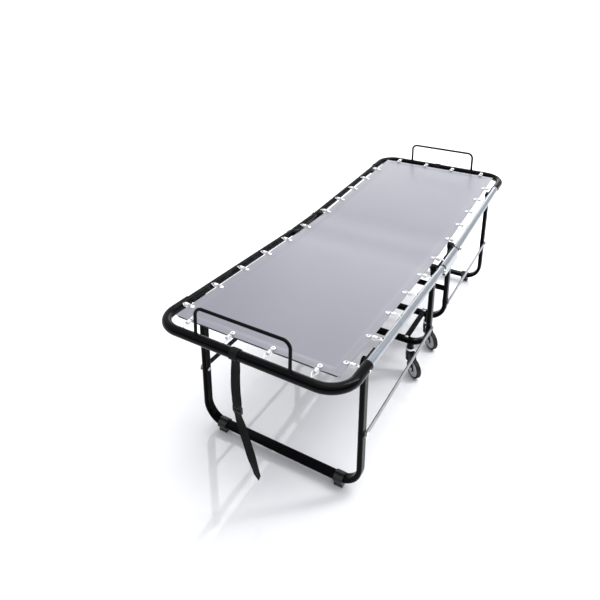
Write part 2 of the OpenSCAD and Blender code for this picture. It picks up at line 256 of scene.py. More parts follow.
def painted(name, paint, undercoat, rub, roughness, metallic, gloss, dusty, peel_height):
    made = bpy.data.materials.new(name)
    made.use_nodes = True
    tree = made.node_tree
    skin = tree.nodes["Principled BSDF"]
    skin.inputs["Metallic"].default_value = metallic
    skin.inputs["Specular IOR Level"].default_value = gloss
    coat = tree.nodes.new("ShaderNodeGroup")
    coat.node_tree = rubbed
    coat.inputs["Paint"].default_value = (*paint, 1)
    coat.inputs["Undercoat"].default_value = (*undercoat, 1)
    coat.inputs["Rub"].default_value = rub
    coat.inputs["Roughness"].default_value = roughness
    film = tree.nodes.new("ShaderNodeGroup")
    film.node_tree = dust
    film.inputs["Amount"].default_value = dusty
    tree.links.new(coat.outputs["Color"], film.inputs["Color"])
    tree.links.new(film.outputs["Color"], skin.inputs["Base Color"])
    tree.links.new(coat.outputs["Roughness"], skin.inputs["Roughness"])
    bump = tree.nodes.new("ShaderNodeBump")
    bump.inputs["Strength"].default_value = 0.35
    bump.inputs["Distance"].default_value = peel_height
    tree.links.new(coat.outputs["Height"], bump.inputs["Height"])
    tree.links.new(bump.outputs["Normal"], skin.inputs["Normal"])
    return made


def wear_it(material, *names):
    for name in names:
        node = frame["nodes"][name]
        node.data.materials.clear()
        node.data.materials.append(material)
        for face in node.data.polygons:
            face.material_index = 0


leg_enamel = painted(
    "black leg enamel", (0.0018, 0.0018, 0.0022), (0.16, 0.16, 0.17), 0.10, 0.16, 0.0, 0.04, 0.006, 0.0001
)
wear_it(leg_enamel, "centre_leg_near", "centre_leg_far", "upper_cross_tube")
strip_enamel = painted(
    "black strip enamel", (0.0035, 0.0035, 0.004), (0.22, 0.22, 0.23), 0.15, 0.24, 0.0, 0.05, 0.01, 0.0002
)
wear_it(strip_enamel, "tie_bar_left", "tie_bar_right")
zinc_plate = painted(
    "bright zinc plate", (0.62, 0.63, 0.64), (0.30, 0.29, 0.27), 0.5, 0.30, 1.0, 0.5, 0.02, 0.0002
)


def add_piece(name, mesh, material, body):
    piece = bpy.data.objects.new(name, mesh)
    bpy.context.scene.collection.objects.link(piece)
    mesh.materials.append(material)
    if body:
        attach(piece, body)
    return piece


# A turned part given by its (radius, height) outline, standing at a point along an axis.
def turn(shape, outline, place, axis, sides=24):
    stand = Vector(axis).normalized().to_track_quat("Z", "Y").to_matrix()
    rings = []
    for radius, height in outline:
        ring = []
        if radius < 1e-6:
            ring = [shape.verts.new(Vector(place) + stand @ Vector((0, 0, height)))]
        else:
            for i in range(sides):
                a = 2 * math.pi * i / sides
                at = Vector((radius * math.cos(a), radius * math.sin(a), height))
                ring.append(shape.verts.new(Vector(place) + stand @ at))
        rings.append(ring)
    for low, high in zip(rings, rings[1:]):
        if len(low) == 1 and len(high) == 1:
            continue
        for i in range(sides):
            j = (i + 1) % sides
            if len(low) == 1:
                shape.faces.new((low[0], high[j], high[i]))
            elif len(high) == 1:
                shape.faces.new((low[i], low[j], high[0]))
            else:
                shape.faces.new((low[i], low[j], high[j], high[i]))


def finish_mesh(shape, name, smooth=True, angle=0.7):
    bmesh.ops.recalc_face_normals(shape, faces=shape.faces)
    mesh = bpy.data.meshes.new(name)
    shape.to_mesh(mesh)
    shape.free()
    if smooth:
        for face in mesh.polygons:
            face.use_smooth = True
        mesh.set_sharp_from_angle(angle=angle)
    return mesh


# Domed rivet heads that hold the tie bars to the crossbars.
for side in ("left", "right"):
    lo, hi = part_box("tie_bar_" + side)
    shape = bmesh.new()
    for y in (lo.y + 0.014, hi.y - 0.014):
        shank = [(0.0029, -0.0038), (0.0029, -0.0002)]
        dome = [(0.0068, -0.0002), (0.0068, 0.0006), (0.0062, 0.0018)]
        dome += [(0.0045, 0.0030), (0.0022, 0.0036), (0, 0.0038)]
        turn(shape, shank + dome, ((lo.x + hi.x) / 2, y, hi.z), (0, 0, 1))
    mesh = finish_mesh(shape, "tie_rivets_" + side)
    add_piece("tie_rivets_" + side, mesh, zinc_plate, "carriage")


# ---- Centre rails, hinge plates and hinge bolts ----
# Deep folded-steel channel rails between the hinges; the right one is grey, a painted reflection of the
# bright floor and lamps, and the left one is black.
# Each carries a black pressed plate with a round boss at either hinge, and zinc-plated bolts.
# Painted reflection: flat grey paint stands for the bright floor and lamps mirrored in the right-hand
# rails.
reflection_grey_rail = painted(
    "rail grey with painted reflection", (0.30, 0.32, 0.35), (0.16, 0.16, 0.16), 0.35, 0.2, 0.9, 0.5, 0.01, 0.0001
)
black_rail = painted(
    "black rail enamel", (0.003, 0.003, 0.0036), (0.2, 0.2, 0.21), 0.08, 0.14, 0.0, 0.07, 0.006, 0.0001
)
wear_it(reflection_grey_rail, "centre_rail_right")
wear_it(black_rail, "centre_rail_left")
wear_it(strip_enamel, "hinge_plate_left", "hinge_plate_right")
wear_it(zinc_plate, "hinge_bolts", "link_bolts_centre")

side_name = {-1: "left", 1: "right"}
hinge_y = {}
hinge_z = 0.0
for joint in frame["joints"]:
    if joint["name"] in ("near_fold", "far_fold"):
        hinge_y[joint["name"][:-5]] = joint["pos_m"][1]
        hinge_z = joint["pos_m"][2]

# Pressed washers and a domed cap over the outer end of every hinge bolt.
bolt_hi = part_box("hinge_bolts")[1]
for half, y in hinge_y.items():
    for side in (-1, 1):
        shape = bmesh.new()
        cap = [(0.0, -0.0001), (0.0086, -0.0001), (0.0088, 0.0008)]
        cap += [(0.0078, 0.0026), (0.0052, 0.0042), (0, 0.0048)]
        turn(shape, cap, (side * bolt_hi.x, y, hinge_z), (side, 0, 0))
        name = "hinge_cap_%s_%s" % (half, side_name[side])
        add_piece(name, finish_mesh(shape, name), zinc_plate, "carriage")


# ---- End tubes and side rails ----
# Round steel tube: the big end tube is bent at both corners and the thinner side rails slide into
# it. Each joint has a rolled lip and one self-tapping screw. Spring holes are punched in the rails.
tube_enamel = painted(
    "gloss black tube enamel", (0.0018, 0.0018, 0.0024), (0.2, 0.2, 0.21),
    0.08, 0.10, 0.0, 0.07, 0.004, 0.0001
)
wear_it(tube_enamel, "end_tube_near", "end_tube_far")
# Right side rails get the grey painted reflection; the left side rails are black.
wear_it(reflection_grey_rail, "side_rail_near_right", "side_rail_far_right")
wear_it(black_rail, "side_rail_near_left", "side_rail_far_left")

# The deck halves lie along the line from each hinge to its end tube.
tube_r = 0.0155
deck_line = {}
for half, y in hinge_y.items():
    lo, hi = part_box("end_tube_" + half)
    end_y = lo.y + tube_r if y < 0 else hi.y - tube_r
    end = Vector((0, end_y, hi.z - tube_r))
    root = Vector((0, y, hinge_z))
    run = (end - root).normalized()
    deck_line[half] = (root, end, run, Vector((0, -run.z * (1 if run.y > 0 else -1), abs(run.y))))

lip_at = 0.150
for half, (root, end, run, up) in deck_line.items():
    tube_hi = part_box("end_tube_" + half)[1]
    for side in (-1, 1):
        x = side * (tube_hi.x - tube_r)
        lip = end - run * lip_at
        place = (x, lip.y, lip.z)
        shape = bmesh.new()
        rolled = [(0.01318, 0.0008), (0.0144, 0.0014), (0.0155, 0.0009), (0.0160, -0.0006)]
        rolled += [(0.0156, -0.0022), (0.0154, -0.0024), (0.0134, -0.0004), (0.01318, 0.0008)]
        turn(shape, rolled, place, -run, 40)
        name = "tube_lip_%s_%s" % (half, side_name[side])
        add_piece(name, finish_mesh(shape, name), tube_enamel, half + "_deck")
        # The screw sits on the outer side, a little inside the lip, with a dip in its head.
        shape = bmesh.new()
        screw_at = lip + run * 0.022
        head = [(0.0, 0.0014), (0.0010, 0.0014), (0.0013, 0.0026), (0.0021, 0.0025)]
        head += [(0.0036, 0.0018), (0.0042, 0.0007), (0.0042, -0.0006)]
        turn(shape, head, (side * tube_hi.x, screw_at.y, screw_at.z), (side, 0, 0), 20)
        name = "joint_screw_%s_%s" % (half, side_name[side])
        add_piece(name, finish_mesh(shape, name), zinc_plate, half + "_deck")


# ---- Leg brackets, leg bolts, end legs and glides ----
# Pressed brackets are welded under the rails and the end legs hang in them on plated bolts. The
# end legs are the same flat-oval tube. Their glides are moulded in black polypropylene.
wear_it(strip_enamel, "leg_brackets_near", "leg_brackets_far")
wear_it(zinc_plate, "leg_bolts_near", "leg_bolts_far", "link_bolts_near", "link_bolts_far")
wear_it(leg_enamel, "end_leg_near", "end_leg_far")
glide_plastic = painted(
    "moulded black glide", (0.012, 0.012, 0.013), (0.05, 0.05, 0.052), 0.6, 0.42, 0.0, 0.35, 0.10, 0.0004
)
wear_it(glide_plastic, "leg_glides_near", "leg_glides_far")


# The skin of a round wire or bead, given as rings of points.
def sleeve(shape, rings):
    sides = len(rings[0])
    for a, b in zip(rings, rings[1:]):
        for m in range(sides):
            shape.faces.new((a[m], a[(m + 1) % sides], b[(m + 1) % sides], b[m]))


# Weld beads along the foot of each bracket, where it meets the rail.
for half, (root, end, run, up) in deck_line.items():
    lo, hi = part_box("leg_brackets_" + half)
    leg_y = (lo.y + hi.y) / 2
    for side in (-1, 1):
        shape = bmesh.new()
        steps = 30
        rings = []
        for i in range(steps + 1):
            along = -0.028 + 0.056 * i / steps
            fat = 0.0017 + 0.0005 * math.sin(i * 2.1) if 0 < i < steps else 0.0004
            middle = root + run * (abs(leg_y - root.y) / abs(run.y) + along)
            middle = Vector((side * (hi.x + 0.0006), middle.y, middle.z)) - up * 0.0086
            ring = []
            for k in range(8):
                a = math.pi * 2 * k / 8
                sideways = Vector((fat * math.cos(a) * side, 0, 0))
                ring.append(shape.verts.new(middle + sideways + up * fat * math.sin(a)))
            rings.append(ring)
        sleeve(shape, rings)
        shape.faces.new(rings[0])
        shape.faces.new(rings[-1])
        name = "bracket_weld_%s_%s" % (half, side_name[side])
        add_piece(name, finish_mesh(shape, name), strip_enamel, half + "_deck")

# A washer and a domed cap cover the outer end of each link bolt.
for half in ("near", "far"):
    lo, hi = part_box("link_bolts_" + half)
    middle = (lo + hi) / 2
    for side in (-1, 1):
        shape = bmesh.new()
        ring = [(0.0058, 0.0), (0.0106, 0.0), (0.0110, 0.0008)]
        ring += [(0.0104, 0.0018), (0.0062, 0.0020), (0.0058, 0.0)]
        turn(shape, ring, (side * (hi.x - 0.0001), middle.y, middle.z), (side, 0, 0), 28)
        name = "link_cap_%s_%s" % (half, side_name[side])
        dome = [(0.0062, 0.0002), (0.0056, 0.0022), (0.0034, 0.0034), (0, 0.0038)]
        turn(shape, dome, (side * (hi.x - 0.0001), middle.y, middle.z), (side, 0, 0), 28)
        add_piece(name, finish_mesh(shape, name), zinc_plate, half + "_legs")


# ---- Link bars ----
# Flat steel bars that fold the end legs as the deck swings. The right pair is painted grey, a painted
# reflection of the bright floor and lamps, and the left pair is black enamel.
# Painted reflection: flat grey paint stands for the bright floor and lamps mirrored in the right links.
reflection_grey_link = painted(
    "link grey with painted reflection", (0.17, 0.175, 0.19), (0.45, 0.45, 0.46), 0.6, 0.3, 0.6, 0.5, 0.02, 0.0002
)
wear_it(reflection_grey_link, "link_near_right", "link_far_right")
wear_it(black_rail, "link_near_left", "link_far_left")


# ---- Casters ----
# A black nylon fork holds a hard rubber tyre on a grey moulded hub, turning on a zinc-plated
# axle. A pressed steel swivel race sits on top.
fork_nylon = painted(
    "black nylon fork", (0.003, 0.003, 0.0035), (0.05, 0.05, 0.05), 0.6, 0.28, 0.0, 0.15, 0.02, 0.0004
)
race_steel = painted(
    "pressed race steel", (0.70, 0.71, 0.72), (0.35, 0.33, 0.30), 0.5, 0.32, 1.0, 0.5, 0.05, 0.0003
)
hub_plastic = painted(
    "grey hub plastic", (0.46, 0.47, 0.48), (0.30, 0.30, 0.30), 0.5, 0.42, 0.0, 0.4, 0.10, 0.0005
)
tyre_rubber = painted(
    "black tyre rubber", (0.008, 0.008, 0.009), (0.05, 0.048, 0.046), 0.8, 0.6, 0.0, 0.2, 0.08, 0.001
)
wear_it(strip_enamel, "caster_sockets")
wear_it(race_steel, "caster_races")
for i in range(1, 5):
    wear_it(fork_nylon, "caster_fork_%d" % i)
    wear_it(zinc_plate, "caster_axle_%d" % i)
    wear_it(hub_plastic, "caster_hub_%d" % i)
    wear_it(tyre_rubber, "caster_tyre_%d" % i)
    spin = [joint for joint in frame["joints"] if joint["name"] == "wheel_spin_%d" % i][0]
    middle, axle = Vector(spin["pos_m"]), Vector(spin["axis"]).normalized()
    ahead, rise = Vector((axle.y, -axle.x, 0)), Vector((0, 0, 1))
    lo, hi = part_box("caster_tyre_%d" % i)
    radius = (hi.z - lo.z) / 2
    # Moulded rings and ribs on both faces of the hub.
    shape = bmesh.new()
    for side in (-1, 1):
        face = middle + axle * side * 0.0079
        ring = [(0.0292, 0.0), (0.0292, 0.0006), (0.0278, 0.0008), (0.0264, 0.0006), (0.0264, 0.0)]
        turn(shape, ring, face, axle * side, 40)
        boss = [(0.0095, 0.0), (0.0095, 0.0007), (0.0084, 0.0008), (0.0072, 0.0008), (0.0072, 0.0)]
        turn(shape, boss, face, axle * side, 32)
        for k in range(6):
            a = math.pi * k / 3
            out = ahead * math.cos(a) + rise * math.sin(a)
            across = (rise * math.cos(a) - ahead * math.sin(a)) * 0.0011
            lift = axle * side * 0.0006
            a0 = face + out * 0.0094
            a1 = face + out * 0.0266
            low = [shape.verts.new(p) for p in (a0 - across, a0 + across, a1 + across, a1 - across)]
            top = [shape.verts.new(p.co + lift - (p.co - face) * 0.01) for p in low]
            shape.faces.new(top)
            sleeve(shape, (low, top))
    name = "hub_ribs_%d" % i
    add_piece(name, finish_mesh(shape, name), hub_plastic, "wheel_%d" % i)
    # Two rows of shallow tread bars round the tyre, clear of the spot that stands on the floor.
    shape = bmesh.new()
    for k in range(60):
        a = 2 * math.pi * (k + 0.5) / 60
        out = ahead * math.cos(a) + rise * math.sin(a)
        onward = rise * math.cos(a) - ahead * math.sin(a)
        for lean in (-1, 1):
            inner = axle * lean * 0.0018
            outer = axle * lean * 0.0072 + onward * 0.0016
            mid = middle + out * (radius - 0.0001)
            half_bar = onward * 0.0007
            corners = (inner - half_bar, inner + half_bar, outer + half_bar, outer - half_bar)
            low = [shape.verts.new(mid + p) for p in corners]
            top = [shape.verts.new(v.co + out * 0.0003) for v in low]
            shape.faces.new(top)
            sleeve(shape, (low, top))
    name = "tyre_tread_%d" % i
    add_piece(name, finish_mesh(shape, name, smooth=False), tyre_rubber, "wheel_%d" % i)


# ---- Deck fabric ----
# One width of closely woven grey polypropylene, hemmed all round with a black cord along the underside of
# the hem edge, and held flat by the springs. It is made in two lengths that meet at the middle, where it
# stays level.
def plain_weave():
    group, into, out = add_group(
        "plain weave",
        [
            ("Warp", "NodeSocketColor", (0.4, 0.4, 0.44, 1)),
            ("Weft", "NodeSocketColor", (0.5, 0.5, 0.54, 1)),
            ("Threads per metre", "NodeSocketFloat", 700.0),
        ],
        [("Color", "NodeSocketColor"), ("Height", "NodeSocketFloat")],
    )
    place = group.nodes.new("ShaderNodeUVMap")
    place.uv_map = "cloth"
    split = group.nodes.new("ShaderNodeSeparateXYZ")
    group.links.new(place.outputs["UV"], split.inputs[0])
    waves = []
    for axis in ("X", "Y"):
        times = product(group, split.outputs[axis], into.outputs["Threads per metre"])
        turns = group.nodes.new("ShaderNodeMath")
        turns.operation = "MULTIPLY"
        turns.inputs[1].default_value = math.pi
        group.links.new(times, turns.inputs[0])
        wave = group.nodes.new("ShaderNodeMath")
        wave.operation = "SINE"
        group.links.new(turns.outputs[0], wave.inputs[0])
        waves.append(wave.outputs[0])
    over = ranged(group, product(group, *waves), -1, 1)
    thread = colour_mix(group, over, into.outputs["Warp"], into.outputs["Weft"])
    # Slubs and slow shade changes along the cloth.
    slub = speckle(group, place.outputs["UV"], 5, 6)
    shade = ranged(group, slub, 0.0, 1.0, 0.93, 1.06)
    tone = group.nodes.new("ShaderNodeMix")
    tone.data_type = "RGBA"
    tone.blend_type = "MULTIPLY"
    tone.inputs["Factor"].default_value = 1.0
    group.links.new(thread, tone.inputs["A"])
    group.links.new(shade, tone.inputs["B"])
    group.links.new(tone.outputs["Result"], out.inputs["Color"])
    group.links.new(over, out.inputs["Height"])
    return group


weave = plain_weave()


def woven(name, warp, weft, threads, roughness, sheen, shine, depth):
    made = bpy.data.materials.new(name)
    made.use_nodes = True
    tree = made.node_tree
    skin = tree.nodes["Principled BSDF"]
    skin.inputs["Roughness"].default_value = roughness
    skin.inputs["Sheen Weight"].default_value = sheen
    skin.inputs["Sheen Roughness"].default_value = 0.5
    skin.inputs["Specular IOR Level"].default_value = shine
    cloth = tree.nodes.new("ShaderNodeGroup")
    cloth.node_tree = weave
    cloth.inputs["Warp"].default_value = (*warp, 1)
    cloth.inputs["Weft"].default_value = (*weft, 1)
    cloth.inputs["Threads per metre"].default_value = threads
    tree.links.new(cloth.outputs["Color"], skin.inputs["Base Color"])
    bump = tree.nodes.new("ShaderNodeBump")
    bump.inputs["Strength"].default_value = 0.5
    bump.inputs["Distance"].default_value = depth
    tree.links.new(cloth.outputs["Height"], bump.inputs["Height"])
    tree.links.new(bump.outputs["Normal"], skin.inputs["Normal"])
    return made


deck_cloth = woven(
    "grey deck cloth", (0.120, 0.122, 0.150), (0.165, 0.168, 0.203), 640, 0.36, 0.10, 1.0, 0.0001
)
hem_cloth = woven(
    "doubled hem cloth", (0.126, 0.128, 0.156), (0.172, 0.175, 0.21), 640, 0.36, 0.10, 1.0, 0.0001
)
edge_cord = painted(
    "black edge cord", (0.012, 0.012, 0.014), (0.08, 0.08, 0.085), 0.5, 0.6, 0.0, 0.3, 0.05, 0.0004
)
stitch_thread = painted(
    "pale stitch thread", (0.30, 0.30, 0.33), (0.25, 0.25, 0.27), 0.3, 0.6, 0.0, 0.3, 0.0, 0.0002
)


# Each spring solid in the frame: where its coil meets the hem, where its wire meets the tube.
def spring_places(node):
    corners = [v.co.copy() for v in frame["nodes"][node].data.vertices]
    hem_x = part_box("fabric_near")[1].x
    found = []
    for side in (-1, 1):
        ys = sorted((c for c in corners if c.x * side > hem_x - 0.001), key=lambda c: c.y)
        clump = []
        for c in ys + [Vector((0, 99, 0))]:
            if clump and c.y - clump[-1].y > 0.03:
                z = (min(p.z for p in clump) + max(p.z for p in clump)) / 2
                y = (min(p.y for p in clump) + max(p.y for p in clump)) / 2
                reach = max(p.x * side for p in clump)
                found.append((Vector((side * hem_x, y, z)), Vector((side * reach, y, z))))
                clump = []
            clump.append(c)
    xs = sorted((c for c in corners if abs(c.x) < hem_x - 0.03), key=lambda c: c.x)
    clump = []
    for c in xs + [Vector((99, 0, 0))]:
        if clump and c.x - clump[-1].x > 0.03:
            ends = sorted(clump, key=lambda p: abs(p.y))
            x = (min(p.x for p in clump) + max(p.x for p in clump)) / 2
            found.append((Vector((x, ends[0].y, ends[0].z)), Vector((x, ends[-1].y, ends[-1].z))))
            clump = []
        clump.append(c)
    return found


fabric_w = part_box("fabric_near")[1].x
fabric_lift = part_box("fabric_centre")[1].z - hinge_z
spring_sets = {
    "near_deck": spring_places("springs_near"),
    "far_deck": spring_places("springs_far"),
    "carriage": spring_places("springs_centre"),
}


# A point of the cloth: s runs from the middle of the bed to the end hem, x across.
def cloth_point(half, x, s, lift):
    root, end, run, up = deck_line[half]
    flat_run = abs(root.y)
    sign = 1 if run.y > 0 else -1
    ease = 0.100
    low = Vector((x, sign * s, hinge_z + fabric_lift + lift))
    if s <= flat_run - ease:
        return low
    out = root + run * (s - flat_run) + up * (fabric_lift + lift)
    out.x = x
    if s >= flat_run + ease:
        return out
    t = (s - flat_run + ease) / (2 * ease)
    t = t * t * (3 - 2 * t)
    return low.lerp(out, t)


# How far the cloth dips between its edges, and how its hem scallops between the springs.
def sag_at(x, s, length):
    return 0.0020 * (1 - (x / fabric_w) ** 2) * (1 - (s / length) ** 2)


hem_wide = 0.027
hem_slack, hem_pull = -0.0026, 0.0030
pull_reach, pull_wide = 0.05, 0.016
cloth_drop = 0.0012
for half, (root, end, run, up) in deck_line.items():
    node_lo, node_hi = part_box("fabric_" + half)
    hem_y = node_lo.y if run.y < 0 else node_hi.y
    length = abs(root.y) + (abs(hem_y) - abs(root.y) + abs(run.z) * 0.012) / abs(run.y)
    held = [a for a, b in spring_sets[half + "_deck"] if abs(a.x) > fabric_w - 0.01]
    held += [a for a, b in spring_sets["carriage"] if a.y * run.y > 0]
    pulls_side = [(abs(a.y), 1 if a.x > 0 else -1) for a in held]
    pulls_end = [a.x for a, b in spring_sets[half + "_deck"] if abs(a.x) < fabric_w - 0.03]
    shape = bmesh.new()
    uv = shape.loops.layers.uv.new("cloth")
    across = [-fabric_w, -fabric_w + 0.0015]
    across += [-fabric_w + hem_wide * k for k in (0.5, 1.0, 1.08)]
    across += [-fabric_w + 0.0292 + (2 * fabric_w - 0.0584) * k / 44 for k in range(1, 44)]
    across += [fabric_w - hem_wide * k for k in (1.08, 1.0, 0.5)]
    across += [fabric_w - 0.0015, fabric_w]
    along = [length * k / 96 for k in range(93)]
    along += [length - hem_wide * 1.08, length - hem_wide, length - 0.0125, length - 0.0015, length]
    grid = []
    for s in along:
        row = []
        for x in across:
            edge = min(fabric_w - abs(x), length - s)
            lift = 0.0 if edge < hem_wide * 1.04 else -0.0005
            sag = sag_at(x, s, length)
            pull_x = 0.0
            if fabric_w - abs(x) < pull_reach:
                pulls = [math.exp(-((s - p) / pull_wide) ** 2) for p, q in pulls_side if q * x > 0]
                near_pull = max(pulls + [0.0])
                pull_x = (hem_slack + hem_pull * near_pull) * (1 - (fabric_w - abs(x)) / pull_reach)
            pull_s = 0.0
            if length - s < pull_reach:
                near_pull = max([math.exp(-((x - p) / pull_wide) ** 2) for p in pulls_end] + [0.0])
                pull_s = (hem_slack + hem_pull * near_pull) * (1 - (length - s) / pull_reach)
            point = cloth_point(half, x + math.copysign(pull_x, x), s + pull_s, lift - sag - cloth_drop)
            row.append(shape.verts.new(point))
        grid.append(row)
    for i in range(len(along) - 1):
        for j in range(len(across) - 1):
            face = shape.faces.new((grid[i][j], grid[i][j + 1], grid[i + 1][j + 1], grid[i + 1][j]))
            corner = [(across[j], along[i]), (across[j + 1], along[i])]
            corner += [(across[j + 1], along[i + 1]), (across[j], along[i + 1])]
            for loop, spot in zip(face.loops, corner):
                loop[uv].uv = (spot[0] + fabric_w, spot[1])
            mid_x = (across[j] + across[j + 1]) / 2
            mid_s = (along[i] + along[i + 1]) / 2
            mid_edge = min(fabric_w - abs(mid_x), length - mid_s)
            face.material_index = 1 if mid_edge < hem_wide * 1.04 else 0
    # The under side is the same grid a little lower, closed all round with crisp corners.
    under = [[shape.verts.new(v.co - Vector((0, 0, 0.0011))) for v in row] for row in grid]
    shape.verts.index_update()
    upper_faces = list(shape.faces)
    for face in upper_faces:
        low = [under[v.index // len(across)][v.index % len(across)] for v in reversed(face.verts)]
        copy = shape.faces.new(low)
        copy.material_index = face.material_index
        for loop, source in zip(copy.loops, reversed(list(face.loops))):
            loop[uv].uv = source[uv].uv
    border = [(i, 0) for i in range(len(along))]
    border += [(len(along) - 1, j) for j in range(1, len(across))]
    border += [(i, len(across) - 1) for i in range(len(along) - 2, -1, -1)]
    border += [(0, j) for j in range(len(across) - 2, -1, -1)]
    for (i, j), (m, n) in zip(border, border[1:]):
        side_face = shape.faces.new((grid[i][j], grid[m][n], under[m][n], under[i][j]))
        side_face.material_index = 1
        for loop in side_face.loops:
            loop[uv].uv = (across[j] + fabric_w, along[i])
    bmesh.ops.recalc_face_normals(shape, faces=shape.faces)
    mesh = bpy.data.meshes.new("deck_cloth_" + half)
    shape.to_mesh(mesh)
    shape.free()
    for face in mesh.polygons:
        face.use_smooth = True
    mesh.set_sharp_from_angle(angle=0.9)
    cloth = bpy.data.objects.new("deck_cloth_" + half, mesh)
    bpy.context.scene.collection.objects.link(cloth)
    mesh.materials.append(deck_cloth)
    mesh.materials.append(hem_cloth)

    # A black cord runs along under the hem edge, so the edge reads dark, and two rows of stitches hold the
    # fold.
    shape = bmesh.new()
    inset = 0.0042
    cord_r = 0.0021
    path = [(-fabric_w + inset, length * k / 60) for k in range(60)]
    path += [(-fabric_w + inset + 0.004, length - inset)]
    end_run = 2 * fabric_w - 2 * inset - 0.012
    path += [(-fabric_w + inset + 0.006 + end_run * k / 40, length - inset) for k in range(1, 40)]
    path += [(fabric_w - inset - 0.004, length - inset)]
    path += [(fabric_w - inset, length * (59 - k) / 60) for k in range(60)]
    points = [cloth_point(half, x, s, -0.0047) for x, s in path]
    rings = []
    for k, p in enumerate(points):
        ahead = points[min(k + 1, len(points) - 1)] - points[max(k - 1, 0)]
        ahead.normalize()
        aside = ahead.cross(Vector((0, 0, 1))).normalized()
        rise = aside.cross(ahead)
        ring = []
        for m in range(8):
            a = m * math.pi / 4
            ring.append(shape.verts.new(p + (aside * math.cos(a) + rise * math.sin(a)) * cord_r))
        rings.append(ring)
    sleeve(shape, rings)
    shape.faces.new(rings[0])
    shape.faces.new(rings[-1])
    name = "edge_cord_" + half
    cord = add_piece(name, finish_mesh(shape, name), edge_cord, None)

    shape = bmesh.new()
    for inset in (0.0055, 0.0245):
        runs = [((-fabric_w + inset, 0.0), (-fabric_w + inset, length - inset)),
                ((-fabric_w + inset, length - inset), (fabric_w - inset, length - inset)),
                ((fabric_w - inset, length - inset), (fabric_w - inset, 0.0))]
        for (x0, s0), (x1, s1) in runs:
            total = math.hypot(x1 - x0, s1 - s0)
            count = int(total / 0.0065)
            for k in range(count):
                ends = []
                for t in ((k + 0.12) / count, (k + 0.80) / count):
                    x, s = x0 + (x1 - x0) * t, s0 + (s1 - s0) * t
                    ends.append(cloth_point(half, x, s, -sag_at(x, s, length) - cloth_drop))
                way = (ends[1] - ends[0]).normalized()
                aside = way.cross(Vector((0, 0, 1))).normalized() * 0.00045
                crest = Vector((0, 0, 0.00035))
                a, b = ends
                mid = (a + b) / 2 + crest
                tail = way * 0.0004
                outline = (a - tail, a + aside, mid + aside, b + aside,
                           b + tail, b - aside, mid - aside, a - aside)
                v = [shape.verts.new(p) for p in outline]
                top = shape.verts.new(mid + crest * 0.7)
                for m in range(8):
                    shape.faces.new((v[m], v[(m + 1) % 8], top))
    name = "hem_stitches_" + half
    stitches = add_piece(name, finish_mesh(shape, name), stitch_thread, None)

    for piece in (cloth, cord, stitches):
        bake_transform(piece)
    if half == "near":
        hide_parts("fabric_near", "fabric_centre")
    else:
        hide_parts("fabric_far")


# ---- Deck springs ----
# Close-wound extension springs of bright zinc-plated wire. A ring through a pressed eyelet holds the hem,
# and a forked hook reaches the tube. Beside each hook on the rails a punched hole is drawn as a black
# disc, painted shade for the dark inside of the hole.
spring_wire = painted(
    "bright spring wire", (0.90, 0.91, 0.92), (0.45, 0.44, 0.42), 0.4, 0.30, 0.45, 0.6, 0.0, 0.0001
)
# The punched holes are black discs: painted shade standing for the dark inside of each hole.
painted_hole_shade = painted(
    "punched hole", (0.004, 0.004, 0.005), (0.02, 0.02, 0.02), 0.1, 0.7, 0.0, 0.1, 0.0, 0.0001
)


def wire(shape, points, radius, sides=6):
    rings = []
    rise = Vector((0, 0, 1))
    for k, p in enumerate(points):
        ahead = (points[min(k + 1, len(points) - 1)] - points[max(k - 1, 0)]).normalized()
        aside = ahead.cross(rise)
        if aside.length < 0.05:
            aside = ahead.cross(Vector((0, 1, 0)))
        aside.normalize()
        rise = aside.cross(ahead).normalized()
        ring = []
        for m in range(sides):
            a = 2 * math.pi * m / sides
            ring.append(shape.verts.new(p + (aside * math.cos(a) + rise * math.sin(a)) * radius))
        rings.append(ring)
    sleeve(shape, rings)
    shape.faces.new(rings[0])
    shape.faces.new(list(reversed(rings[-1])))


